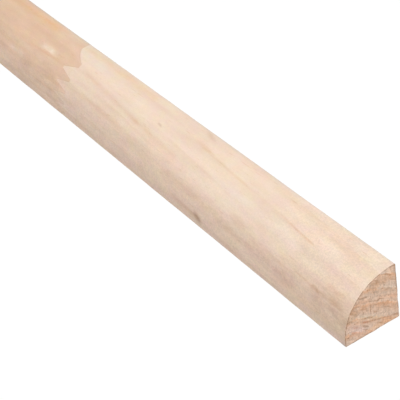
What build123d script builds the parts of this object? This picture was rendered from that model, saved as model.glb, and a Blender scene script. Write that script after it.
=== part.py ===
"""Finger-jointed pine quarter round moulding, 19 x 19 mm, in a 900 mm length.

The stick is three pine blocks glued end to end by finger joints and then run through a moulder,
so that all three share one quarter round section. It lies on its bottom face, as it would on a
floor against a skirting board. +X runs along the stick to the near end, +Y points from the round
towards the flat back face, and +Z is up. The origin is the middle of the bottom face.
"""

import os

from build123d import *

# Section, in millimetres. The bottom and back faces are as wide as each other.
LEG = 19.0  # width of the bottom face, and height of the back face
LAND = 1.5  # flat left at each end of the arc, square to the face beside it
ARRIS = 0.3  # radius that sanding leaves on the three long corners
ARC_RADIUS = LEG - LAND

# Blocks, each measured between the middles of its joints or from its sawn end.
FRONT_BLOCK_LENGTH = 164.0
MIDDLE_BLOCK_LENGTH = 350.0
REAR_BLOCK_LENGTH = 386.0

# Finger joint. The fingers lie flat, one above the other, and run through from front to back.
FINGER_LENGTH = 7.5
FINGER_PITCH = 3.8
FINGER_TIP = 0.6  # blunt end of a finger, and bottom of the slot that takes it
FIRST_FINGER_HEIGHT = 2.0  # middle of the lowest whole finger that points to the near end

length = FRONT_BLOCK_LENGTH + MIDDLE_BLOCK_LENGTH + REAR_BLOCK_LENGTH
near_end_x = length / 2
far_end_x = -length / 2
front_joint_x = near_end_x - FRONT_BLOCK_LENGTH
rear_joint_x = front_joint_x - MIDDLE_BLOCK_LENGTH

front_y = -LEG / 2
back_y = LEG / 2


def quarter_round():
    """The whole stick, before the joints divide it: the section, extruded along X."""
    with BuildPart() as stick:
        with BuildSketch(Plane.YZ.offset(far_end_x)) as section:
            with BuildLine():
                Line((back_y, 0), (front_y, 0))
                Line((front_y, 0), (front_y, LAND))
                RadiusArc((front_y, LAND), (back_y - LAND, LEG), ARC_RADIUS)
                Line((back_y - LAND, LEG), (back_y, LEG))
                Line((back_y, LEG), (back_y, 0))
            make_face()
            corners = [(back_y, 0), (front_y, 0), (back_y, LEG)]
            long_corners = [
                vertex
                for vertex in section.vertices()
                if any(
                    abs(vertex.Y - y) < ARRIS / 2 and abs(vertex.Z - z) < ARRIS / 2
                    for y, z in corners
                )
            ]
            fillet(long_corners, ARRIS)
        extrude(amount=length)
    return stick.part


def joint_line(joint_x):
    """The glue line of a finger joint, as points (x, z) going up past the bottom and the top."""
    tip_x = joint_x + FINGER_LENGTH / 2
    slot_x = joint_x - FINGER_LENGTH / 2
    points = []
    finger_z = FIRST_FINGER_HEIGHT
    while finger_z > -FINGER_PITCH:
        finger_z -= FINGER_PITCH
    while finger_z < LEG + FINGER_PITCH:
        slot_z = finger_z + FINGER_PITCH / 2
        points.append((tip_x, finger_z - FINGER_TIP / 2))
        points.append((tip_x, finger_z + FINGER_TIP / 2))
        points.append((slot_x, slot_z - FINGER_TIP / 2))
        points.append((slot_x, slot_z + FINGER_TIP / 2))
        finger_z += FINGER_PITCH
    return points


def sawn_end_line(end_x):
    """A square end, as points (x, z) going up past the bottom and the top."""
    return [(end_x, -2 * FINGER_PITCH), (end_x, LEG + 2 * FINGER_PITCH)]


def block(stick, rear_line, front_line):
    """The part of the stick between two lines, each drawn in the XZ plane and cut through along Y."""
    with BuildPart() as piece:
        add(stick)
        with BuildSketch(Plane.XZ) as outline:
            with BuildLine():
                Polyline(*rear_line, *reversed(front_line), close=True)
            make_face()
        extrude(amount=LEG, both=True, mode=Mode.INTERSECT)
    return piece.part


stick = quarter_round()
front_joint = joint_line(front_joint_x)
rear_joint = joint_line(rear_joint_x)

pieces = {
    "front_block": block(stick, front_joint, sawn_end_line(near_end_x)),
    "middle_block": block(stick, rear_joint, front_joint),
    "rear_block": block(stick, sawn_end_line(far_end_x), rear_joint),
}

os.makedirs("parts", exist_ok=True)
for name, solid in pieces.items():
    export_step(solid, f"parts/{name}.step")
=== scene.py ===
"""Looks of a finger-jointed pine quarter round moulding, in metres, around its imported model.

A fine mesh stands in for each block's plain solid, in the same place. It has worn corners and
raised grain, and the growth rings of its own tree run through its material. The stick's first and
last block also have a rough sawn end.

A place on the skin is given in millimetres as (away, around): its distance from the near end, and
its distance round the section from the top back corner, over the rounded side. A place on a sawn
end is given in millimetres as (y, z).
"""

import math
from collections import namedtuple
from functools import cached_property

import bpy
import numpy as np
from mathutils import Matrix, Vector, noise
from mathutils.geometry import delaunay_2d_cdt


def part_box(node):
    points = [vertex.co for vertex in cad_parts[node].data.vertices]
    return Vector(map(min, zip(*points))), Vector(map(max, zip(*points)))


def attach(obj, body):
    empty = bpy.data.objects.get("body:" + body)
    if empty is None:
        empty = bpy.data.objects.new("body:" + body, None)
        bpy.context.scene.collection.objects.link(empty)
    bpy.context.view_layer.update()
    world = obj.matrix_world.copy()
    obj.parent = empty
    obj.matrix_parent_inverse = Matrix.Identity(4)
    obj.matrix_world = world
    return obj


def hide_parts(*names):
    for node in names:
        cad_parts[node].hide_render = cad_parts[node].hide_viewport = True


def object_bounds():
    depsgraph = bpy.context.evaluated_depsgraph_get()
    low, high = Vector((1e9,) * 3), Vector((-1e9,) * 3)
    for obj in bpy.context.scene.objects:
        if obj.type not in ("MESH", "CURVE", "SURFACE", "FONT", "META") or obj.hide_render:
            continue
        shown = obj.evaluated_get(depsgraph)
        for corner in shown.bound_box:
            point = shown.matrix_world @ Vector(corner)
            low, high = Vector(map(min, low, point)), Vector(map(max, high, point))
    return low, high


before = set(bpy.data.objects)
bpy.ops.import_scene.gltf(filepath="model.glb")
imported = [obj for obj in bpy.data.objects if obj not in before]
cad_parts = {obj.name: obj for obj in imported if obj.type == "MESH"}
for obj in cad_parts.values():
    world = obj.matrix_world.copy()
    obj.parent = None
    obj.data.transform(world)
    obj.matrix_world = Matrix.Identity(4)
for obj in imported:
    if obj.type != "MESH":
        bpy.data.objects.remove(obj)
cad_low, cad_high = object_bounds()

MM = 0.001


def grain_lumps(length, thickness):
    """The size along X, Y and Z of lumps of noise that lie along the grain, from millimetres."""
    return (length * MM, thickness * MM, thickness * MM)


def end_lumps(y, z):
    """The same for a sawn end, where they are a metre long along X, so that X doesn't matter."""
    return (1.0, y * MM, z * MM)


# Section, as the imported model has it
LEG = cad_high.z
LAND = 1.5 * MM
ARRIS = 0.3 * MM
front_y = cad_low.y
back_y = cad_high.y
near_x = cad_high.x
far_x = cad_low.x

# Finger joints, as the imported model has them
FINGER_PITCH = 3.8 * MM
FINGER_TIP = 0.6 * MM
FIRST_FINGER_HEIGHT = 2.0 * MM

# Fineness of the meshes
SPACING = 0.3 * MM  # between points round the section
CROWDED = 0.3  # a bend's point takes the place of others this near, as a share of their spacing
ARRIS_STEPS = 5
END_SPACING = 0.25 * MM  # between points on a sawn end
END_SCATTER = 0.2  # how far chance moves these each way, as a share of their spacing
END_CLEARANCE = 0.6  # between these and the outline, as such a share
FRONT_STEP = 1.0 * MM  # between rows of points along the block that the photo shows
REAR_STEP = 2.0 * MM
EDGE_ROWS = np.array([0, 0.1, 0.25, 0.5, 0.9, 1.4]) * MM  # rows this far from a block's end
FINGER_FADE = 30 * MM  # over this length the rows go from zigzag to straight
SHARP_ANGLE = math.radians(50)
SAME_HEIGHT = 0.001 * MM
SAME_POINT = 1e-6  # in millimetres
POINTS_AT_ONCE = 500  # when gaps are measured

# Relief, all of it cut into the solid's surface
GRAIN_DEPTH = 0.02 * MM  # earlywood lies this much below latewood
WAVE_DEPTH = 0.03 * MM
WEAR_DEPTH = 0.1 * MM  # of the long corners
WEAR_WIDTH = 0.5 * MM
WEAR_FULL = 0.3  # the wear is full this near to a corner, as a share of its width
DENT_DEPTH = 0.06 * MM
DENT_RADIUS = 0.8 * MM
DENT_RANGE = (0.5, 1.3)  # the least and the greatest radius, as shares of that one
DENT_STRETCH = 2  # how many times longer a dent is along the grain
DENT_GAP = 45 * MM  # one dent for each such length of a block
SAW_DEPTH = 0.07 * MM
END_GRAIN_DEPTH = 0.06 * MM
PIT_DEPTH = 0.12 * MM
PIT_LOSS = 0.7  # the share that pits lose on a sawn end's outline
CHIP_DEPTH = 0.1 * MM  # of the splinters torn from a sawn end's rim
CHIP_REACH = 0.8 * MM  # how far they go along the skin and across the end
RIM_WIDTH = 0.6 * MM  # of the dark rim of a sawn end

# How wear, pits and chips follow their noise: the slope, and the value where the noise is 0
WEAR_RAMP = (0.6, 0.4)
PIT_RAMP = (3, -0.6)
CHIP_RAMP = (1.6, 0.1)

# Lumps of the noise that shapes the mesh and the rings
RING_BENDS = grain_lumps(70, 11)
RING_ROUGHNESS = grain_lumps(22, 3)
ROUGH_SHARE = 0.25  # how strong the roughness is, against the bends
WAVES = grain_lumps(30, 5)
WORN_SPOTS = grain_lumps(7, 4)
SAW_TICKS = end_lumps(0.45, 4)
PITS = end_lumps(0.5, 0.6)
SPLINTERS = end_lumps(2.2, 2.2)

# Latewood, in shares of its ring
LATEWOOD_START = 0.3
LATEWOOD_RISE = 0.6
LATEWOOD_FALL = 0.06

# How far a mark fades past its ends
SKIN_TAPER = 3 * MM
END_TAPER = 0.6 * MM

# Bake map: the skin fills the lower part, and above it lie the joint's caps and the sawn end
SKIN_SHARE = 0.66
MAP_MARGIN = 0.01
REAR_CAP_MAP = (0.0, 0.05)
FRONT_CAP_MAP = (0.06, 0.11)
SAWN_END_MAP = (0.12, 1.0)

SKIN_MATERIAL = 0  # places in a block's list of materials
END_MATERIAL = 1

SEED = 7

# Camera, set from the corners and edges of the photo
LENS = 122.75  # in millimetres, as is the next
SENSOR_WIDTH = 36.0
NEAREST_SEEN = 0.01
CAMERA_PLACE = (0.67705, -0.16268, 0.25651)
CAMERA_HEADING = math.radians(62.662)
CAMERA_TILT = math.radians(53.855)
CAMERA_ROLL = math.radians(-10.296)

# Light. A surface that faces the lamp shows about its own colour.
SURROUND = 0.42
LAMP_POWER = 60
LAMP_SIZE = 1.6
LAMP_DISTANCE = 3.0
TOWARDS_LAMP = Vector((0.5, -0.16, 0.85)).normalized()
FLOOR_HALF = 6.0  # half its width
FLOOR_COLOUR = (0.66, 0.65, 0.63, 1)
FLOOR_GLOW = 1.045
FLOOR_GLOW_SHARE = 0.92  # the rest of what the camera sees of the floor is its lit colour

# A tree's pith is at (y, z) at the near end, and drifts by so much for each length away from it.
# A mark goes from start to end, and its tint is the share of red, green and blue that it leaves.
End = namedtuple("End", "x finger_length")  # a sawn end has no fingers, so their length is 0
Tree = namedtuple("Tree", "pith drift ring_width first_ring wobble")
Mark = namedtuple("Mark", "start end width tint")
Block = namedtuple("Block", "name node slot tree rear front step marks end_marks materials seed")


def joint_between(rear, front):
    """The end that two blocks share: the middle of their fingers, and how long these are."""
    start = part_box(front)[0].x
    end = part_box(rear)[1].x
    return End((start + end) / 2, end - start)


front_joint = joint_between("middle_block", "front_block")
rear_joint = joint_between("rear_block", "middle_block")
near_end = End(near_x, 0.0)
far_end = End(far_x, 0.0)

half_pitches = range(-1, math.ceil(LEG / FINGER_PITCH * 2) + 1)
BEND_HEIGHTS = [
    FIRST_FINGER_HEIGHT + half * FINGER_PITCH / 2 + side * FINGER_TIP / 2
    for half in half_pitches
    for side in (-1, 1)
]


def finger_offsets(heights, finger_length):
    """How far the glue line lies towards the near end from the joint's middle, at each height."""
    turns = (heights - FIRST_FINGER_HEIGHT) / FINGER_PITCH + 0.5
    off_centre = np.abs(turns % 1 - 0.5) * FINGER_PITCH
    down_flank = (off_centre - FINGER_TIP / 2) / (FINGER_PITCH / 2 - FINGER_TIP)
    return finger_length * (0.5 - np.clip(down_flank, 0, 1))


def outline():
    """Points (y, z) round the section, one of them at each height where a glue line bends."""
    # Centre, radius and first angle of each rounding, from the top back corner over the arc
    roundings = [
        (back_y - ARRIS, LEG - ARRIS, ARRIS, 0),
        (back_y - LAND, LAND, LEG - LAND, 90),
        (front_y + ARRIS, ARRIS, ARRIS, 180),
        (back_y - ARRIS, ARRIS, ARRIS, 270),
    ]
    corners = []
    for centre_y, centre_z, radius, start in roundings:
        steps = max(ARRIS_STEPS, math.ceil(radius * math.pi / 2 / SPACING))
        for angle in np.radians(start + np.linspace(0, 90, steps + 1)):
            corners.append((centre_y + radius * math.cos(angle), centre_z + radius * math.sin(angle)))
    points = []
    for (y0, z0), (y1, z1) in zip(corners, corners[1:] + corners[:1]):
        low, high = sorted((z0, z1))
        bends = [(bend - z0) / (z1 - z0) for bend in BEND_HEIGHTS if low < bend < high]
        steps = math.ceil(math.hypot(y1 - y0, z1 - z0) / SPACING)
        evenly = [step / steps for step in range(steps)]
        crowded = CROWDED / steps
        kept = [share for share in evenly if all(abs(share - bend) > crowded for bend in bends)]
        for share in sorted({0.0, *kept, *bends}):
            points.append((y0 + share * (y1 - y0), z0 + share * (z1 - z0)))
    return np.array(points)


def gaps_between(points, others):
    """How far each point is from the nearest of the others."""
    parts = np.array_split(points, len(points) // POINTS_AT_ONCE + 1)
    return np.concatenate([np.hypot(*(p[:, None] - others).transpose(2, 0, 1)).min(1) for p in parts])


def points_inside():
    """Points spread evenly over the section, clear of its outline, and their gaps to it."""
    chance = np.random.default_rng(SEED)
    rows = np.arange(0, LEG, END_SPACING * math.sqrt(3) / 2)
    y, z = np.meshgrid(np.arange(front_y, back_y, END_SPACING), rows)
    y = y + (np.arange(len(rows)) % 2)[:, None] * END_SPACING / 2
    points = np.stack([y.ravel(), z.ravel()], 1)
    points += chance.uniform(-END_SCATTER, END_SCATTER, points.shape) * END_SPACING
    y, z = points.T
    in_box = (y > front_y) & (y < back_y) & (z > 0) & (z < LEG)
    beside_arc = (y < back_y - LAND) & (z > LAND)
    past_arc = np.hypot(y - (back_y - LAND), z - LAND) > LEG - LAND
    points = points[in_box & ~(beside_arc & past_arc)]
    gaps = gaps_between(points, SECTION)
    clear = gaps > END_CLEARANCE * END_SPACING
    return points[clear], gaps[clear]


# The section's points, and what is known at each of them
SECTION = outline()
COUNT = len(SECTION)
side_lengths = np.hypot(*(np.roll(SECTION, -1, axis=0) - SECTION).T)
AROUND = np.concatenate([[0], np.cumsum(side_lengths)])  # the last one is the whole way round
along_section = np.roll(SECTION, -1, axis=0) - np.roll(SECTION, 1, axis=0)
along_section /= np.hypot(*along_section.T)[:, None]
OUTWARD = np.stack([along_section[:, 1], -along_section[:, 0]], 1)
LONG_CORNERS = np.array([(back_y, LEG), (front_y, 0), (back_y, 0)])
AT_CORNER = np.clip(1 + WEAR_FULL - gaps_between(SECTION, LONG_CORNERS) / WEAR_WIDTH, 0, 1)
FLATNESS = np.clip(np.maximum(OUTWARD[:, 0], -OUTWARD[:, 1]), 0, 1)  # 1 on the bottom and the back

# Points of a sawn end, and of a joint's caps, which need none
INSIDE, INSIDE_GAPS = points_inside()
NO_POINTS = np.zeros((0, 2))
ONLY_INSIDE = 1  # what delaunay_2d_cdt gives: triangles inside the outline and none past it


def noise_at(places, size, seed=0.0):
    """Smooth noise from -1 to 1 at places (n, 3). size is how large its lumps are along X, Y, Z."""
    scaled = places / np.array(size) + seed
    return np.array([noise.noise(Vector(place)) for place in scaled])


def rings_at(tree, places):
    """How many growth rings lie between the tree's first ring and each place."""
    away = near_x - places[:, 0]
    y = places[:, 1] - tree.pith[0] - tree.drift[0] * away
    z = places[:, 2] - tree.pith[1] - tree.drift[1] * away
    bent = noise_at(places, RING_BENDS, SEED)
    rough = noise_at(places, RING_ROUGHNESS, 2 * SEED)
    radius = np.hypot(y, z) + tree.wobble * (bent + ROUGH_SHARE * rough)
    return (radius - tree.first_ring) / tree.ring_width


def latewood(rings):
    """0 in a ring's pale earlywood, rising to 1 in its dark latewood, which ends sharply."""
    phase = rings % 1
    rise = np.clip((phase - LATEWOOD_START) / LATEWOOD_RISE, 0, 1)
    fall = np.clip((1 - phase) / LATEWOOD_FALL, 0, 1)
    return rise * rise * (3 - 2 * rise) * fall


def tint_at(places, marks, taper):
    """The share of red, green and blue light that the marks leave at each place (n, 2)."""
    tint = np.ones((len(places), 3))
    for mark in marks:
        start, end = np.array(mark.start) * MM, np.array(mark.end) * MM
        length = np.hypot(*(end - start))
        forward = (end - start) / length
        along = (places - start) @ forward
        past = np.abs(along - np.clip(along, 0, length)) / min(taper, length)
        across = (places - start) @ np.array([-forward[1], forward[0]]) / (mark.width * MM)
        strength = np.exp(-across * across - past * past)
        tint *= 1 - strength[:, None] * (1 - np.array(mark.tint))
    return tint


def ramp(noise_values, slope, middle):
    """Shares that follow noise from -1 to 1, kept between 0 and 1."""
    return np.clip(noise_values * slope + middle, 0, 1)


def skin_depth(tree, places, seed):
    """How far the relief of the planed skin goes in at each place, row by row."""
    rows = len(places) // COUNT
    away = near_x - places[:, 0]
    around = np.tile(AROUND[:-1], rows)
    wave = 0.5 + 0.5 * noise_at(places, WAVES, seed)
    wear = ramp(noise_at(places, WORN_SPOTS, seed + 1), *WEAR_RAMP)
    depth = GRAIN_DEPTH * (1 - latewood(rings_at(tree, places))) + WAVE_DEPTH * wave
    depth += WEAR_DEPTH * wear * np.tile(AT_CORNER, rows)
    chance = np.random.default_rng(seed)
    for _ in range(int(np.ptp(away) / DENT_GAP)):
        dent_away = chance.uniform(away.min(), away.max())
        dent_around = chance.uniform(0, AROUND[-1])
        radius = DENT_RADIUS * chance.uniform(*DENT_RANGE)
        reach = np.hypot((away - dent_away) / DENT_STRETCH, around - dent_around) / radius
        depth += DENT_DEPTH * np.exp(-reach * reach)
    return depth


def end_depth(tree, places, nearness, seed):
    """How far the relief of a sawn end goes in at each place. nearness is 1 on its outline."""
    saw = noise_at(places, SAW_TICKS, seed)
    pits = ramp(noise_at(places, PITS, seed + 1), *PIT_RAMP)
    chips = ramp(noise_at(places, SPLINTERS, seed + 2), *CHIP_RAMP)
    depth = SAW_DEPTH * (0.5 + 0.5 * saw)
    depth += END_GRAIN_DEPTH * (1 - latewood(rings_at(tree, places)))
    depth += PIT_DEPTH * (1 - PIT_LOSS * nearness) * pits
    depth += CHIP_DEPTH * nearness**2 * chips
    return depth


def rows_between(start, end, step):
    """Places along the stick for a block's rows of points, close together near its two ends."""
    first = start + EDGE_ROWS[-1]
    last = end - EDGE_ROWS[-1]
    middle = np.linspace(first, last, math.ceil((last - first) / step) + 1)
    return np.concatenate([start + EDGE_ROWS[:-1], middle, end - EDGE_ROWS[-2::-1]])


def skin_places(block, rows):
    """The undented skin's points, row by row. Near a joint the rows follow its zigzag."""
    x = np.repeat(rows[:, None], COUNT, axis=1)
    for end in (block.rear, block.front):
        nearness = np.clip(1 - np.abs(rows - end.x) / FINGER_FADE, 0, 1)
        x += finger_offsets(SECTION[:, 1], end.finger_length) * nearness[:, None]
    y = np.tile(SECTION[:, 0], len(rows))
    z = np.tile(SECTION[:, 1], len(rows))
    return np.stack([x.ravel(), y, z], 1)


def skin_faces(rows):
    """Four-cornered faces between the rows, and the bake map's place of each of their corners."""
    faces = []
    places = []
    along = (rows - rows[0]) / (rows[-1] - rows[0])
    across = AROUND / AROUND[-1] * (SKIN_SHARE - MAP_MARGIN)
    for row in range(len(rows) - 1):
        for side in range(COUNT):
            after = (side + 1) % COUNT
            low, high = row * COUNT, (row + 1) * COUNT
            faces.append((low + side, low + after, high + after, high + side))
            places += [
                (along[row], across[side]),
                (along[row], across[side + 1]),
                (along[row + 1], across[side + 1]),
                (along[row + 1], across[side]),
            ]
    return faces, places


def cap_triangles(inside):
    """Triangles over the section, whose own points come first, and the points inside it."""
    edges = []
    if not len(inside):
        for bend in BEND_HEIGHTS:
            level = np.flatnonzero(np.abs(SECTION[:, 1] - bend) < SAME_HEIGHT)
            if len(level) == 2:
                edges.append((int(level[0]), int(level[1])))
    points = [Vector(point) / MM for point in (*SECTION.tolist(), *inside.tolist())]
    found = delaunay_2d_cdt(points, edges, [list(range(COUNT))], ONLY_INSIDE, SAME_POINT)
    _, _, faces, sources, _, _ = found
    triangles = []
    for face in faces:
        a, b, c = (sources[corner][0] for corner in face)
        turn = (points[b] - points[a]).cross(points[c] - points[a])
        triangles.append((a, b, c) if turn > 0 else (a, c, b))
    return triangles


def cap_map(section_points, left, right):
    """The bake map's places for points (y, z) of an end, between left and right."""
    u = left + (right - left) * (section_points[:, 0] - front_y) / (back_y - front_y)
    v = SKIN_SHARE + (1 - SKIN_SHARE) * section_points[:, 1] / LEG
    return np.stack([u, v], 1).tolist()


class Shape:
    """A block's points, what they carry, and its faces. Its places are its points before any relief."""

    def __init__(self, block):
        self.block = block
        self.rows = rows_between(block.rear.x, block.front.x, block.step)
        self.places = skin_places(block, self.rows)
        self.skin_size = len(self.places)
        depth = skin_depth(block.tree, self.places, block.seed)
        self.points = self.places.copy()
        self.points[:, 1:] -= np.tile(OUTWARD, (len(self.rows), 1)) * depth[:, None]
        around = np.tile(AROUND[:-1], len(self.rows))
        on_skin = np.stack([near_x - self.places[:, 0], around], 1)
        self.tint = tint_at(on_skin, block.marks, SKIN_TAPER)
        self.rim = np.zeros(self.skin_size)
        self.flatness = np.tile(FLATNESS, len(self.rows))
        self.faces, self.maps = skin_faces(self.rows)
        self.materials = [SKIN_MATERIAL] * len(self.faces)
        self.close(block.rear, 0, 1, REAR_CAP_MAP)
        self.close(block.front, self.skin_size - COUNT, -1, FRONT_CAP_MAP)

    def close(self, end, first, way_in, joint_map):
        """Closes an end, whose edge is a row of the skin from first on. way_in is 1 or -1 along X."""
        sawn = end.finger_length == 0
        base = len(self.points)
        if sawn:
            self.add_sawn_points(end, first, way_in)
        inside = INSIDE if sawn else NO_POINTS
        spots = cap_map(np.concatenate([SECTION, inside]), *(SAWN_END_MAP if sawn else joint_map))
        for triangle in cap_triangles(inside):
            corners = triangle if way_in < 0 else triangle[::-1]
            self.faces.append(tuple(first + c if c < COUNT else base + c - COUNT for c in corners))
            self.maps += [spots[corner] for corner in corners]
            self.materials.append(END_MATERIAL if sawn else SKIN_MATERIAL)

    def add_sawn_points(self, end, first, way_in):
        """Adds the rough points of a sawn end. The skin beside it follows the relief of its outline."""
        block = self.block
        skin = slice(self.skin_size)
        edge = slice(first, first + COUNT)
        added = np.column_stack([np.full(len(INSIDE), end.x), INSIDE])
        nearness = np.concatenate([np.ones(COUNT), np.clip(1 - INSIDE_GAPS / CHIP_REACH, 0, 1)])
        end_places = np.concatenate([self.places[edge], added])
        depth = end_depth(block.tree, end_places, nearness, block.seed)
        fading = np.clip(1 - np.abs(self.places[skin, 0] - end.x) / CHIP_REACH, 0, 1)
        self.points[skin, 0] += way_in * fading * np.tile(depth[:COUNT], len(self.rows))
        cut = added.copy()
        cut[:, 0] += way_in * depth[COUNT:]
        self.points = np.concatenate([self.points, cut])
        self.places = np.concatenate([self.places, added])
        self.rim[edge] = 1
        self.rim = np.concatenate([self.rim, np.clip(1 - INSIDE_GAPS / RIM_WIDTH, 0, 1)])
        self.flatness = np.concatenate([self.flatness, np.zeros(len(INSIDE))])
        self.tint = np.concatenate([self.tint, tint_at(INSIDE, block.end_marks, END_TAPER)])


def add_block(block):
    """The mesh that stands for one block."""
    shape = Shape(block)
    mesh = bpy.data.meshes.new(block.name)
    mesh.from_pydata(shape.points.tolist(), [], shape.faces)
    for material in block.materials:
        mesh.materials.append(material)
    mesh.polygons.foreach_set("material_index", shape.materials)
    mesh.polygons.foreach_set("use_smooth", [True] * len(shape.faces))
    mesh.set_sharp_from_angle(angle=SHARP_ANGLE)
    bake_map = mesh.uv_layers.new(name="OFBake", do_init=False)
    bake_map.uv.foreach_set("vector", np.array(shape.maps, np.float32).ravel())
    for label, kind, field, values in (
        ("rings", "FLOAT", "value", rings_at(block.tree, shape.places)),
        ("rim", "FLOAT", "value", shape.rim),
        ("flatness", "FLOAT", "value", shape.flatness),
        ("tint", "FLOAT_VECTOR", "vector", shape.tint),
    ):
        attribute = mesh.attributes.new(label, kind, "POINT")
        attribute.data.foreach_set(field, values.astype(np.float32).ravel())
    piece = bpy.data.objects.new(block.name, mesh)
    bpy.context.scene.collection.objects.link(piece)
    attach(piece, "root")
    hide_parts(block.node)


def colour(red, green, blue):
    """A colour given as a screen shows it, from 0 to 255, made linear as the shader needs it."""
    shares = [value / 255 for value in (red, green, blue)]
    return (*(s / 12.92 if s <= 0.04045 else ((s + 0.055) / 1.055) ** 2.4 for s in shares), 1)


WHITE = (1, 1, 1, 1)

# A pattern of noise: the size of its lumps, how many layers of finer lumps lie over them, and how
# strong those are. Spots are a pattern made clear-cut: their start shows where it is below low, and
# their end where it is above high. Lines are noise in thin lines along the growth rings.
Pattern = namedtuple("Pattern", "size detail rough", defaults=[0.5])
Spots = namedtuple("Spots", "pattern low high start end", defaults=[0.0, 1.0])
Lines = namedtuple("Lines", "per_ring length detail")
LINE_STRETCH = 10  # how many times longer a line is along the stick than across
NOISE_RANGE = (0.32, 0.68)  # most of a pattern lies between these values


class Graph:
    """The nodes of a material or a world. Most methods add to them and return their last socket."""

    def __init__(self, owner):
        self.owner = owner
        owner.use_nodes = True
        self.tree = owner.node_tree
        self.shader = self.tree.nodes.get("Principled BSDF")

    @cached_property
    def place(self):
        return self.node("TexCoord", {}).outputs["Object"]

    @cached_property
    def place_parts(self):
        return self.node("SeparateXYZ", {0: self.place}).outputs

    def node(self, kind, inputs, **settings):
        node = self.tree.nodes.new("ShaderNode" + kind)
        for name, value in settings.items():
            setattr(node, name, value)
        for key, value in inputs.items():
            self.feed(node.inputs[key], value)
        return node

    def feed(self, socket, value):
        if isinstance(value, bpy.types.NodeSocket):
            self.tree.links.new(value, socket)
        else:
            socket.default_value = value

    def attribute(self, name, output="Fac"):
        return self.node("Attribute", {}, attribute_name=name).outputs[output]

    def math(self, operation, first, second=0.0):
        return self.node("Math", {0: first, 1: second}, operation=operation).outputs[0]

    def step(self, value, low, high, start=0.0, end=1.0):
        """start below low, end above high, and smooth in between."""
        inputs = {"Value": value, "From Min": low, "From Max": high, "To Min": start, "To Max": end}
        return self.node("MapRange", inputs, interpolation_type="SMOOTHSTEP").outputs[0]

    def noise(self, pattern):
        """The pattern's noise, from 0 to 1."""
        scale = tuple(1 / length for length in pattern.size)
        vector = self.node("VectorMath", {0: self.place, 1: scale}, operation="MULTIPLY").outputs[0]
        inputs = {"Vector": vector, "Scale": 1.0, "Detail": pattern.detail, "Roughness": pattern.rough}
        return self.node("TexNoise", inputs).outputs[0]

    def spots(self, spots):
        return self.step(self.noise(spots.pattern), spots.low, spots.high, spots.start, spots.end)

    def ring_lines(self, lines):
        """The noise of thin lines that follow the rings, from 0 to 1."""
        radial = self.math("MULTIPLY", self.attribute("rings"), lines.per_ring)
        y = self.math("DIVIDE", self.place_parts[1], lines.length)
        x = self.math("DIVIDE", self.place_parts[0], LINE_STRETCH * lines.length)
        vector = self.node("CombineXYZ", {0: x, 1: y, 2: radial}).outputs[0]
        inputs = {"Vector": vector, "Scale": 1.0, "Detail": lines.detail}
        return self.node("TexNoise", inputs).outputs[0]

    def mix(self, share, first, second):
        """A mix of two colours. The node's inputs 6 and 7 and its output 2 are its colours."""
        return self.node("Mix", {0: share, 6: first, 7: second}, data_type="RGBA").outputs[2]

    def tinted(self, base, tint):
        return self.node("VectorMath", {0: base, 1: tint}, operation="MULTIPLY").outputs[0]

    def stained(self, base, share, tint):
        """The base tinted where the share is 1."""
        return self.tinted(base, self.mix(share, WHITE, tint))

    def uneven(self, base, values, amount):
        """The base made darker and lighter by the amount, as the values go from low to high."""
        strength = self.step(values, *NOISE_RANGE, 1 - amount, 1 + amount)
        return self.node("VectorMath", {0: base, 3: strength}, operation="SCALE").outputs[0]

    def bump(self, height, depth, strength):
        inputs = {"Height": height, "Distance": depth, "Strength": strength}
        return self.node("Bump", inputs).outputs[0]


# Ring bands, in shares of a ring: how far their edges wander, where they start, and over how much
# of the ring's end they fade
Bands = namedtuple("Bands", "wander start fade")
SKIN_BANDS = Bands(0.22, 0.35, 0.09)
END_BANDS = Bands(0.5, 0.12, 0.12)
BANDS_FULL = 0.92  # where they are darkest
BAND_WANDER = Pattern(grain_lumps(14, 1.1), 3)


def ring_bands(graph, bands):
    """The latewood's share, much as latewood() gives it, with edges that wander along the grain."""
    wander = graph.math("SUBTRACT", graph.noise(BAND_WANDER), 0.5)
    moved = graph.math("ADD", graph.attribute("rings"), graph.math("MULTIPLY", wander, bands.wander))
    phase = graph.math("FRACT", moved)
    rise = graph.step(phase, bands.start, BANDS_FULL)
    fall = graph.step(phase, 1 - bands.fade, 1.0, 1.0, 0.0)
    return graph.math("MULTIPLY", rise, fall)


# Planed wood. A look's inner tint is for the rings before change_start, and its outer one for those
# past change_end.
Look = namedtuple("Look", "early late bands inner outer change_start change_end streak cloud fibre")

PALE_LOOK = Look(
    early=colour(241, 218, 197),
    late=colour(226, 195, 165),
    bands=0.4,
    inner=(0.972, 0.945, 0.96, 1),
    outer=WHITE,
    # the change is the wood's own, but its place is partly painted light: it is set so that the rounded
    # side is lighter from about 12 to 19 mm round
    change_start=-2.3,
    change_end=0.2,
    streak=0.025,
    cloud=0.036,
    fibre=0.012,
)
AMBER_LOOK = Look(
    early=colour(229, 196, 168),
    late=colour(219, 180, 145),
    bands=0.45,
    inner=WHITE,
    outer=(1.08, 1.16, 1.31, 1),
    change_start=0.3,
    change_end=5.6,
    streak=0.035,
    cloud=0.056,
    fibre=0.017,
)
STRAW_LOOK = Look(
    early=colour(241, 216, 189),
    late=colour(226, 191, 152),
    bands=0.6,
    inner=(1.0, 0.98, 0.96, 1),
    outer=WHITE,
    change_start=0.0,
    change_end=5.0,
    streak=0.025,
    cloud=0.03,
    fibre=0.008,
)


def hue_patches(length, thickness):
    return Spots(Pattern(grain_lumps(length, thickness), 3, 0.55), 0.36, 0.64)


# Patches of slightly different hue, each with the two tints that it lies between
HUE_PATCHES = [
    (hue_patches(16, 6), (1.003, 0.985, 0.99, 1), (1.0, 1.005, 0.99, 1)),
    (hue_patches(6.5, 3.2), (1.005, 0.977, 0.995, 1), (0.997, 1.019, 1.001, 1)),
    (hue_patches(4.5, 2.6), (1.0, 1.0, 0.966, 1), (1.0, 1.0, 1.03, 1)),
]

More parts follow.
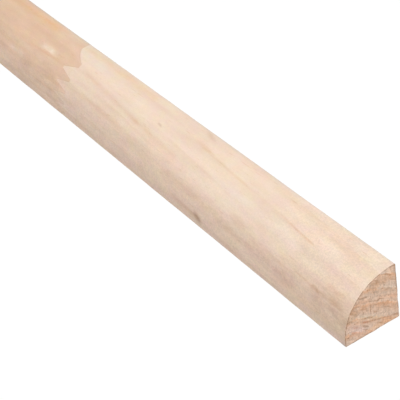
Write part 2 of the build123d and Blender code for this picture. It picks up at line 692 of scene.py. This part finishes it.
# How clear the ring bands and the marks are from place to place
BROKEN_BANDS = Spots(Pattern(grain_lumps(45, 4), 2), 0.44, 0.64, 0.12)
BROKEN_MARKS = Spots(Pattern(grain_lumps(4, 1.2), 4, 0.65), 0.38, 0.6, 0.6)

# Patches of darker and lighter wood, from the longest to the finest
STREAKS = Pattern(grain_lumps(30, 3.5), 2)
CLOUDS = Pattern(grain_lumps(9, 3.2), 4, 0.6)
FIBRES = Lines(9, 6 * MM, 3)

# The finest, each pattern with how much it darkens and lightens the wood
FINE_TEXTURE = [
    (Pattern(grain_lumps(7, 0.4), 3, 0.6), 0.007),
    (Pattern(grain_lumps(1.0, 0.8), 2, 0.6), 0.035),
    (Pattern(grain_lumps(0.5, 0.4), 2, 0.6), 0.045),
]

# Resin ducts, and the glue that shows at a joint
DUCTS = Spots(Pattern(grain_lumps(5, 0.28), 1), 0.7, 0.77)
DUCT_TINT = (0.9, 0.82, 0.72, 1)
GLUE_REACH = (0.02 * MM, 0.1 * MM)  # fully seen up to the first, and not past the second
GLUE_TINT = (0.9, 0.86, 0.8, 1)

# Fine texture fades upwards to the top, as painted light: less texture there stands in for the lit
# top's highlight washing it out. It also fades away from the near end
COARSE_HEIGHTS = (3 * MM, LEG)
COARSE_ON_TOP = 0.3
COARSE_FROM_END = (80 * MM, 15 * MM)
COARSE_AT_END = 0.85
BANDS_ON_TOP = 0.5  # the ring bands' strength where no fine texture shows

# The bottom and the back, which the photo doesn't show
FLAT_BANDS = 2.0  # the ring bands' strength there, against that on the rounded side
KNIFE_PITCH = 1.5 * MM  # between the ripples that the moulder's knives leave
KNIFE_RELIEF = 0.12  # their height, against the fuzz's

# Relief in the material, and gloss
FUZZ = Pattern(grain_lumps(0.9, 0.35), 2)
FIBRE_RELIEF = 0.6  # their height, against the fuzz's
PLANED_BUMP = (0.05 * MM, 0.5)  # depth and strength
PLANED_ROUGHNESS = (0.55, 0.7)
FIBRE_RANGE = (0.3, 0.7)  # the fibres' values over which the roughness rises
PLANED_SPECULAR = 0.3


def glue_line(graph, joint):
    """1 on a joint's thin glue line and 0 away from it."""
    x = graph.math("SUBTRACT", graph.place_parts[0], joint.x)
    z = graph.math("SUBTRACT", graph.place_parts[2], FIRST_FINGER_HEIGHT)
    off_centre = graph.math("PINGPONG", z, FINGER_PITCH / 2)
    slope = -(FINGER_PITCH / 2 - FINGER_TIP) / joint.finger_length
    half_width = graph.math("ADD", graph.math("MULTIPLY", x, slope), FINGER_PITCH / 4)
    gap = graph.math("ABSOLUTE", graph.math("SUBTRACT", off_centre, half_width))
    line = graph.step(gap, *GLUE_REACH, 1.0, 0.0)
    inside = graph.math("LESS_THAN", graph.math("ABSOLUTE", x), joint.finger_length / 2)
    return graph.math("MULTIPLY", line, inside)


def coarseness(graph):
    """How much of the fine texture shows, from 0 to 1."""
    # painted light: less fine texture towards the lit top, where its highlight washes it out
    low = graph.step(graph.place_parts[2], *COARSE_HEIGHTS, 1.0, COARSE_ON_TOP)
    start, full = (near_x - away for away in COARSE_FROM_END)
    near = graph.step(graph.place_parts[0], start, full, 0.0, COARSE_AT_END)
    return graph.math("MAXIMUM", low, near)


def banded_wood(graph, look, coarse):
    """The wood's colour with its ring bands, its slow change from ring to ring, and its marks."""
    flat_bands = min(1.0, FLAT_BANDS * look.bands)
    clearness = graph.step(graph.attribute("flatness"), 0.0, 1.0, look.bands, flat_bands)
    # the bands fade with the fine texture, so they too are weaker towards the lit top: painted light
    clearness = graph.math("MULTIPLY", clearness, graph.step(coarse, 0.0, 1.0, BANDS_ON_TOP, 1.0))
    share = graph.math("MULTIPLY", ring_bands(graph, SKIN_BANDS), graph.spots(BROKEN_BANDS))
    base = graph.mix(graph.math("MULTIPLY", share, clearness), look.early, look.late)
    change = graph.step(graph.attribute("rings"), look.change_start, look.change_end)
    base = graph.tinted(base, graph.mix(change, look.inner, look.outer))
    return graph.stained(base, graph.spots(BROKEN_MARKS), graph.attribute("tint", "Vector"))


def planed_relief(graph, fibres):
    """The height of fibres and fuzz, and of the knives' ripples on the flat sides."""
    height = graph.math("ADD", graph.math("MULTIPLY", fibres, FIBRE_RELIEF), graph.noise(FUZZ))
    turns = graph.math("MULTIPLY", graph.place_parts[0], 2 * math.pi / KNIFE_PITCH)
    strength = graph.math("MULTIPLY", graph.attribute("flatness"), KNIFE_RELIEF)
    ripples = graph.math("MULTIPLY", graph.math("SINE", turns), strength)
    return graph.math("ADD", height, ripples)


def skin_material(name, look, joints):
    """Planed side grain: ring bands, fibres, resin ducts, clouds and faint shifts of colour."""
    graph = Graph(bpy.data.materials.new(name))
    coarse = coarseness(graph)
    fibres = graph.ring_lines(FIBRES)
    base = banded_wood(graph, look, coarse)
    for patches, one, other in HUE_PATCHES:
        base = graph.tinted(base, graph.mix(graph.spots(patches), one, other))
    base = graph.uneven(base, graph.noise(STREAKS), look.streak)
    plain = base
    base = graph.uneven(base, graph.noise(CLOUDS), look.cloud)
    base = graph.uneven(base, fibres, look.fibre)
    for pattern, amount in FINE_TEXTURE:
        base = graph.uneven(base, graph.noise(pattern), amount)
    base = graph.mix(coarse, plain, base)
    base = graph.stained(base, graph.spots(DUCTS), DUCT_TINT)
    for joint in joints:
        base = graph.stained(base, glue_line(graph, joint), GLUE_TINT)
    graph.feed(graph.shader.inputs["Base Color"], base)
    roughness = graph.step(fibres, *FIBRE_RANGE, *PLANED_ROUGHNESS)
    graph.feed(graph.shader.inputs["Roughness"], roughness)
    graph.shader.inputs["Specular IOR Level"].default_value = PLANED_SPECULAR
    relief = planed_relief(graph, fibres)
    graph.feed(graph.shader.inputs["Normal"], graph.bump(relief, *PLANED_BUMP))
    return graph.owner


# Sawn ends, of which these are the earlywood and the latewood
PALE_END = (colour(227, 199, 178), colour(226, 182, 150))
STRAW_END = (colour(228, 200, 172), colour(212, 158, 114))
BROKEN_END_BANDS = Spots(Pattern(end_lumps(3.5, 1.8), 2), 0.36, 0.6, 0.35)
END_LINES = Lines(7, 3 * MM, 3)
THIN_LINES = Lines(5, 4 * MM, 1)
THIN_LINE_RANGE = (0.62, 0.7)
THIN_LINE_TINT = (0.8, 0.73, 0.67, 1)
TICKS = Pattern(end_lumps(0.35, 1.5), 2, 0.6)
CELLS = Pattern(end_lumps(0.55, 0.5), 3, 0.7)
LINE_AMOUNT = 0.08  # how much the lines darken and lighten the wood
TICK_AMOUNT = 0.1
CELL_AMOUNT = 0.1
END_DUCTS = Spots(Pattern(end_lumps(0.7, 0.6), 1), 0.68, 0.76)
END_DUCT_TINT = (0.66, 0.6, 0.55, 1)
TORN_RIM = Spots(Pattern(end_lumps(1.6, 1.6), 2), 0.4, 0.62, 0.1, 0.9)
TORN_COLOUR = colour(150, 112, 84)
SAWN_BUMP = (0.15 * MM, 0.6)  # depth and strength
SAWN_ROUGHNESS = 0.85
SAWN_SPECULAR = 0.2


def end_material(name, early, late):
    """Sawn end grain: strong rings, open cells, resin ducts, saw ticks and a torn dark rim."""
    graph = Graph(bpy.data.materials.new(name))
    share = graph.math("MULTIPLY", ring_bands(graph, END_BANDS), graph.spots(BROKEN_END_BANDS))
    base = graph.mix(share, early, late)
    base = graph.uneven(base, graph.ring_lines(END_LINES), LINE_AMOUNT)
    thin = graph.step(graph.ring_lines(THIN_LINES), *THIN_LINE_RANGE)
    base = graph.stained(base, thin, THIN_LINE_TINT)
    ticks = graph.noise(TICKS)
    cells = graph.noise(CELLS)
    base = graph.uneven(base, ticks, TICK_AMOUNT)
    base = graph.uneven(base, cells, CELL_AMOUNT)
    base = graph.stained(base, graph.spots(END_DUCTS), END_DUCT_TINT)
    base = graph.tinted(base, graph.attribute("tint", "Vector"))
    torn = graph.math("MULTIPLY", graph.attribute("rim"), graph.spots(TORN_RIM))
    base = graph.mix(torn, base, TORN_COLOUR)
    graph.feed(graph.shader.inputs["Base Color"], base)
    graph.shader.inputs["Roughness"].default_value = SAWN_ROUGHNESS
    graph.shader.inputs["Specular IOR Level"].default_value = SAWN_SPECULAR
    relief = graph.math("ADD", ticks, cells)
    graph.feed(graph.shader.inputs["Normal"], graph.bump(relief, *SAWN_BUMP))
    return graph.owner


# Tints of marks
BROWN_LINE = (0.93, 0.86, 0.78)
RED_LINE = (0.88, 0.74, 0.66)
TAN_BAND = (0.965, 0.93, 0.88)
ORANGE_BAND = (0.985, 0.94, 0.85)
PINK_CLOUD = (1.03, 1.005, 1.02)
# paler wood; on the rounded side from about 10 to 18 mm round it is painted light, so that the light
# falls off more steeply below
PALE_CLOUD_AND_PAINTED_LIGHT = (1.03, 1.035, 1.045)
DARK_SPOT = (0.8, 0.72, 0.68)
# painted sheen: a bluish grey line for the other light that the top corner's narrow land takes
ARRIS_PAINTED_SHEEN = (0.91, 0.96, 1.01)

# Marks that the photo shows. Their places and widths are in millimetres.
front_marks = [
    # painted sheen along the top corner
    Mark((168, 0.4), (0, 0.4), 0.6, ARRIS_PAINTED_SHEEN),  # along the top corner
    Mark((168, 3.2), (148, 4.6), 2.6, (0.975, 1.01, 1.045)),
    Mark((160, 10.8), (154, 10.8), 0.8, (0.95, 0.93, 0.88)),
    Mark((152, 10.6), (118, 13.0), 0.8, (0.95, 0.905, 0.85)),
    Mark((142, 10.7), (110, 10.9), 1.1, (1.02, 1.02, 1.025)),
    Mark((118, 13.0), (94, 14.4), 0.7, (0.965, 0.925, 0.88)),
    Mark((118, 14.2), (94, 15.6), 1.8, TAN_BAND),
    Mark((21, 19.8), (13.5, 20.1), 0.5, (0.88, 0.8, 0.73)),  # brown line
    Mark((15.8, 20.0), (14.6, 20.1), 0.6, (0.78, 0.65, 0.56)),  # brown dot on it
    Mark((8, 19.6), (4.6, 20.2), 0.8, (0.93, 0.89, 0.85)),
    Mark((30, 18.6), (2, 20.0), 1.6, (0.965, 0.93, 0.895)),
    Mark((86, 6.5), (60, 8.3), 0.5, (0.95, 0.9, 0.84)),
    Mark((38, 9.2), (26, 10.2), 0.3, (0.92, 0.84, 0.77)),
    Mark((67, 8.3), (53, 8.7), 1.3, (1.03, 1.035, 1.045)),
    Mark((94, 7.6), (79, 8.2), 1.2, (0.985, 0.97, 0.95)),
    Mark((74, 13.0), (30, 12.8), 2.0, (1.01, 1.035, 1.07)),
    Mark((150, 17.8), (128, 17.4), 1.0, (0.97, 0.935, 0.9)),
    Mark((168, 21.3), (126, 21.6), 1.5, (0.97, 0.96, 0.95)),
    Mark((9, 17.0), (0, 16.8), 1.0, (0.92, 0.86, 0.8)),
    Mark((14, 17.0), (0, 16.5), 2.0, (0.97, 0.95, 0.94)),
    Mark((13, 22.2), (-3, 22.6), 2.6, (0.84, 0.79, 0.77)),
    Mark((28, 21.8), (14, 23.0), 2.2, (0.92, 0.89, 0.895)),
    Mark((6, 21.6), (-3, 22.8), 3.0, (0.86, 0.82, 0.82)),
    Mark((24, 25.5), (0, 27.5), 3.0, (0.94, 0.93, 0.93)),
    Mark((74.1, 26.4), (72.9, 27.4), 1.3, (0.64, 0.56, 0.51)),  # smudge
    Mark((86, 26.2), (76, 26.9), 0.8, (0.88, 0.84, 0.79)),  # its tail
    Mark((164, 17.4), (105, 18.8), 1.2, (0.965, 0.935, 0.9)),
    Mark((116, 19.6), (58, 21.4), 1.2, (0.93, 0.91, 0.88)),
    Mark((92, 20.6), (66, 21.2), 1.6, (0.94, 0.915, 0.9)),
    Mark((60, 22.2), (30, 23.6), 1.3, (0.92, 0.885, 0.875)),
    Mark((54, 18.6), (26, 22.4), 2.8, (0.935, 0.905, 0.9)),
    Mark((26, 12.8), (-2, 13.2), 1.7, (0.93, 0.9, 0.925)),
    Mark((62, 22.6), (22, 23.4), 1.2, (0.95, 0.935, 0.92)),
    Mark((28, 25.0), (0, 26.6), 1.6, (0.975, 0.95, 0.92)),
    Mark((164, 2.6), (120, 2.4), 1.5, ORANGE_BAND),
    Mark((88.2, 1.8), (86, 2.2), 0.9, (0.88, 0.83, 0.79)),
    Mark((86.5, 5.2), (83, 5.8), 1.2, (0.97, 0.94, 0.91)),
    Mark((107.6, 9.2), (106.8, 9.3), 0.35, DARK_SPOT),  # dot
    Mark((104, 18.0), (72, 18.0), 2.6, PINK_CLOUD),
    Mark((168, 24.4), (126, 25.0), 2.4, PALE_CLOUD_AND_PAINTED_LIGHT),
    # painted light: these two lighten the rounded side from about 10 to 18 mm round, for a steeper fall
    # of light below it
    Mark((118, 11.2), (56, 13.4), 3.0, PALE_CLOUD_AND_PAINTED_LIGHT),
    Mark((124, 16.2), (50, 16.4), 2.8, PALE_CLOUD_AND_PAINTED_LIGHT),
    Mark((116, 24.2), (44, 25.2), 2.2, (0.98, 0.965, 0.955)),
    Mark((116, 29.8), (0, 29.8), 1.4, (1.02, 1.03, 1.05)),
    # painted shade: a dark grey spot at the end's bottom corner, where the stick meets the floor
    Mark((0.9, 30.2), (0, 30.3), 0.6, (0.72, 0.76, 0.8)),  # bottom corner of the end
    Mark((158, 6.0), (122, 7.5), 2.0, PALE_CLOUD_AND_PAINTED_LIGHT),
]

middle_marks = [
    # painted sheen along the top corner
    Mark((514, 0.4), (160, 0.4), 0.6, (0.86, 0.97, 1.1)),
    Mark((182, 3.6), (162, 8.0), 3.0, (1.025, 1.065, 1.11)),
    Mark((236, 3.2), (188, 3.6), 1.5, (1.015, 0.94, 0.81)),  # orange band
    Mark((202, 3.4), (184, 1.8), 0.8, (1.0, 0.95, 0.87)),
    Mark((183.0, 11.6), (179.0, 11.4), 1.1, (1.16, 1.34, 1.58)),  # pale fleck
    Mark((203, 19.4), (197, 19.1), 0.8, (1.14, 1.22, 1.32)),
    Mark((190, 13.7), (182, 13.2), 0.45, (0.99, 0.93, 0.9)),
    Mark((180, 13.0), (175, 12.9), 0.4, (0.98, 0.93, 0.89)),
    Mark((176, 6.0), (169, 8.0), 1.5, (0.98, 0.95, 0.92)),
    Mark((216, 21.5), (172, 19.2), 1.8, (0.92, 0.905, 0.88)),
    # painted light: lightens the rounded side at about 15 mm round, for a steeper fall of light below
    # it
    Mark((214, 14.6), (170, 15.4), 2.2, (1.015, 1.035, 1.06)),
    Mark((212, 26.0), (192, 25.4), 1.2, (1.03, 1.03, 1.0)),
    Mark((174, 18.5), (168, 21.0), 2.4, (0.95, 0.93, 0.9)),
    Mark((190, 23.2), (166, 23.2), 2.6, (0.935, 0.93, 0.92)),
    Mark((184, 0.9), (166, 0.9), 1.5, (1.03, 1.12, 1.18)),
    Mark((214, 14.6), (186, 14.2), 0.6, (0.97, 0.94, 0.92)),
    Mark((216, 26.0), (186, 26.5), 2.2, (0.97, 0.975, 0.95)),
]

end_marks = [
    Mark((-4.2, 12.6), (8.5, 5.9), 0.9, (1.0, 0.935, 0.885)),
    Mark((-2.8, 5.0), (8.5, 1.3), 0.22, (0.8, 0.69, 0.62)),
    Mark((-1.0, 1.4), (8.5, 0.5), 0.7, (1.02, 0.94, 0.84)),
    Mark((-1.4, 14.4), (9.0, 10.3), 0.9, (0.93, 0.97, 1.0)),
    Mark((-3.6, 7.6), (3.2, 3.4), 0.6, (0.93, 0.97, 0.94)),
    Mark((-7.6, 6.6), (-3.4, 2.6), 1.2, (1.03, 1.0, 1.05)),
    Mark((-6.6, 3.7), (-5.9, 3.3), 0.3, (0.84, 0.7, 0.66)),
    Mark((-5.7, 4.9), (-5.1, 4.6), 0.3, (0.86, 0.72, 0.68)),
    Mark((-2.6, 5.2), (-1.7, 4.6), 0.4, (0.84, 0.68, 0.64)),
    Mark((0.05, 9.4), (0.0, 7.6), 0.14, (0.72, 0.6, 0.52)),
    Mark((-8.2, 9.4), (-5.8, 8.4), 1.1, (0.98, 0.93, 0.86)),
    Mark((-0.5, 15.6), (3.0, 14.6), 0.7, (1.03, 0.93, 0.84)),
    Mark((7.8, 17.8), (7.8, 15.0), 0.9, (1.06, 1.0, 0.95)),
    Mark((4.5, 17.9), (7.6, 15.8), 0.7, (1.0, 1.07, 1.14)),
    Mark((1.2, 16.4), (2.6, 16.0), 0.6, (0.8, 0.71, 0.62)),
    Mark((3.0, 15.8), (5.5, 14.8), 0.8, (0.95, 0.86, 0.77)),
    Mark((-6.3, 10.6), (-4.8, 9.2), 0.8, (0.82, 0.75, 0.67)),
    Mark((-7.6, 7.9), (-6.4, 7.2), 0.6, (0.8, 0.84, 0.84)),
    Mark((-3.4, 6.6), (0.6, 5.0), 0.7, (1.06, 1.13, 1.2)),
    Mark((-7.4, 3.6), (-0.4, 1.4), 1.5, (0.99, 1.02, 1.08)),
    Mark((7.2, 9.2), (8.8, 8.2), 0.8, (1.0, 0.92, 0.87)),
    Mark((-3.0, 16.6), (5.0, 19.0), 0.9, (1.06, 1.07, 1.09)),
    Mark((-3.4, 12.8), (-0.4, 11.6), 0.6, (1.03, 0.95, 0.9)),
    Mark((3.2, 10.6), (8.8, 7.8), 0.7, (1.04, 0.95, 0.89)),
    Mark((5.4, 12.8), (8.6, 11.0), 0.6, (1.0, 1.06, 1.1)),
    Mark((-4.0, 6.2), (3.4, 3.4), 0.45, (1.02, 1.07, 1.11)),
    # painted shade: a dark grey spot at the end's bottom corner, where the stick meets the floor
    Mark((-9.2, 2.0), (-9.3, 0.3), 0.6, (0.84, 0.88, 0.91)),
    Mark((-7.0, 1.6), (-1.5, 1.2), 1.1, (0.985, 1.02, 1.06)),
    Mark((-2.4, 8.4), (2.8, 7.0), 1.0, (0.995, 0.965, 0.945)),
    Mark((-4.4, 12.2), (4.4, 11.0), 1.0, (0.98, 0.965, 0.955)),
]

# Streaks, where the photo shows nothing. Their lengths, widths and places are in millimetres.
STREAK_AREA = 420  # one streak for each such area, in square millimetres
STREAK_LENGTHS = (12, 70)
STREAK_SLANT = 0.02  # how far one leans at most, as a share of its length
STREAK_WIDTHS = (0.25, 1.3)
WIDE_STREAK = 0.6  # wider ones are always tan
UNSEEN_SIDES = (31.5, 67.5)  # round the section
ROUNDED_SIDE = (1, 30)
ALL_SIDES = (1, 68)


def streaks(away, around, seed):
    """Marks of darker grain, spread by chance over the skin between the given limits."""
    chance = np.random.default_rng(seed)
    area = (away[1] - away[0]) * (around[1] - around[0])
    marks = []
    for _ in range(int(area / STREAK_AREA)):
        start = np.array([chance.uniform(*away), chance.uniform(*around)])
        length = chance.uniform(*STREAK_LENGTHS)
        slant = chance.uniform(-STREAK_SLANT, STREAK_SLANT)
        width = chance.uniform(*STREAK_WIDTHS)
        tint = (BROWN_LINE, TAN_BAND, RED_LINE)[chance.integers(3)]
        if width > WIDE_STREAK:
            tint = TAN_BAND
        marks.append(Mark(tuple(start), (start[0] - length, start[1] + slant * length), width, tint))
    return marks


def front_pine(skin, sawn):
    return Block(
        name="front_pine_block",
        node="front_block",
        slot="pale_pine",
        tree=Tree(
            pith=(-18.4 * MM, -32.4 * MM),
            drift=(0.019, 0.049),
            ring_width=4.35 * MM,
            first_ring=42.6 * MM,
            wobble=0.5 * MM,
        ),
        rear=front_joint,
        front=near_end,
        step=FRONT_STEP,
        marks=front_marks + streaks(away=(20, 170), around=UNSEEN_SIDES, seed=SEED),
        end_marks=end_marks,
        materials=[skin, sawn],
        seed=SEED,
    )


def middle_pine(skin):
    return Block(
        name="middle_pine_block",
        node="middle_block",
        slot="amber_pine",
        tree=Tree(
            pith=(6 * MM, 90 * MM),
            drift=(0.004, -0.014),
            ring_width=3.1 * MM,
            first_ring=70 * MM,
            wobble=0.5 * MM,
        ),
        rear=rear_joint,
        front=front_joint,
        step=REAR_STEP,
        marks=middle_marks
        + streaks(away=(180, 515), around=UNSEEN_SIDES, seed=SEED + 1)
        + streaks(away=(290, 515), around=ROUNDED_SIDE, seed=SEED + 2),
        end_marks=[],
        materials=[skin],
        seed=SEED + 10,
    )


def rear_pine(skin, sawn):
    return Block(
        name="rear_pine_block",
        node="rear_block",
        slot="straw_pine",
        tree=Tree(
            pith=(-34 * MM, 40 * MM),
            drift=(-0.01, 0.02),
            ring_width=3.6 * MM,
            first_ring=40 * MM,
            wobble=0.4 * MM,
        ),
        rear=far_end,
        front=rear_joint,
        step=REAR_STEP,
        marks=streaks(away=(560, 900), around=ALL_SIDES, seed=SEED + 3),
        end_marks=[],
        materials=[skin, sawn],
        seed=SEED + 20,
    )


def add_blocks():
    pale = skin_material("pale_pine", PALE_LOOK, [front_joint])
    amber = skin_material("amber_pine", AMBER_LOOK, [front_joint, rear_joint])
    straw = skin_material("straw_pine", STRAW_LOOK, [rear_joint])
    pale_end = end_material("pale_pine_end_grain", *PALE_END)
    straw_end = end_material("straw_pine_end_grain", *STRAW_END)
    for block in (front_pine(pale, pale_end), middle_pine(amber), rear_pine(straw, straw_end)):
        add_block(block)


def seen_rays(graph):
    """1 for the rays that the camera, a reflection or a view through glass sees by, and else 0."""
    rays = graph.node("LightPath", {}).outputs
    indirect = graph.math("MAXIMUM", rays["Is Glossy Ray"], rays["Is Transmission Ray"])
    return graph.math("MAXIMUM", rays["Is Camera Ray"], indirect)


def add_floor():
    """A pale floor that shows as white but keeps a faint shadow of the stick."""
    corners = [(x * FLOOR_HALF, y * FLOOR_HALF, 0) for x, y in ((-1, -1), (1, -1), (1, 1), (-1, 1))]
    mesh = bpy.data.meshes.new("floor")
    mesh.from_pydata(corners, [], [(0, 1, 2, 3)])
    floor = bpy.data.objects.new("floor", mesh)
    bpy.context.scene.collection.objects.link(floor)
    graph = Graph(bpy.data.materials.new("floor"))
    graph.shader.inputs["Base Color"].default_value = FLOOR_COLOUR
    graph.shader.inputs["Roughness"].default_value = 1.0
    graph.shader.inputs["Specular IOR Level"].default_value = 0.0
    share = graph.math("MULTIPLY", seen_rays(graph), FLOOR_GLOW_SHARE)
    glow = graph.node("Emission", {"Color": WHITE, "Strength": FLOOR_GLOW}).outputs[0]
    both = graph.node("MixShader", {0: share, 1: graph.shader.outputs[0], 2: glow}).outputs[0]
    graph.feed(graph.tree.nodes["Material Output"].inputs["Surface"], both)
    mesh.materials.append(graph.owner)


def add_light():
    """An even white surround and one large soft lamp, high up and to the near end's side."""
    world = bpy.data.worlds.new("surround")
    bpy.context.scene.world = world
    graph = Graph(world)
    background = graph.tree.nodes["Background"]
    background.inputs["Color"].default_value = WHITE
    graph.feed(background.inputs["Strength"], graph.step(seen_rays(graph), 0.0, 1.0, SURROUND, 1.0))

    lamp = bpy.data.lights.new("key", "AREA")
    lamp.shape = "DISK"
    lamp.size = LAMP_SIZE
    lamp.energy = LAMP_POWER
    key = bpy.data.objects.new("key", lamp)
    bpy.context.scene.collection.objects.link(key)
    key.location = Vector((near_x / 2, 0, 0)) + LAMP_DISTANCE * TOWARDS_LAMP
    key.rotation_mode = "QUATERNION"
    key.rotation_quaternion = TOWARDS_LAMP.to_track_quat("Z", "Y")


def add_camera():
    camera = bpy.data.cameras.new("camera")
    camera.sensor_width = SENSOR_WIDTH
    camera.lens = LENS
    camera.clip_start = NEAREST_SEEN
    holder = bpy.data.objects.new("camera", camera)
    bpy.context.scene.collection.objects.link(holder)
    turn = Matrix.Rotation(CAMERA_HEADING, 4, "Z")
    turn @= Matrix.Rotation(CAMERA_TILT, 4, "X")
    turn @= Matrix.Rotation(CAMERA_ROLL, 4, "Z")
    holder.matrix_world = Matrix.Translation(CAMERA_PLACE) @ turn
    bpy.context.scene.camera = holder


add_blocks()
add_floor()
add_light()
add_camera()
bpy.context.scene.view_settings.view_transform = "Standard"
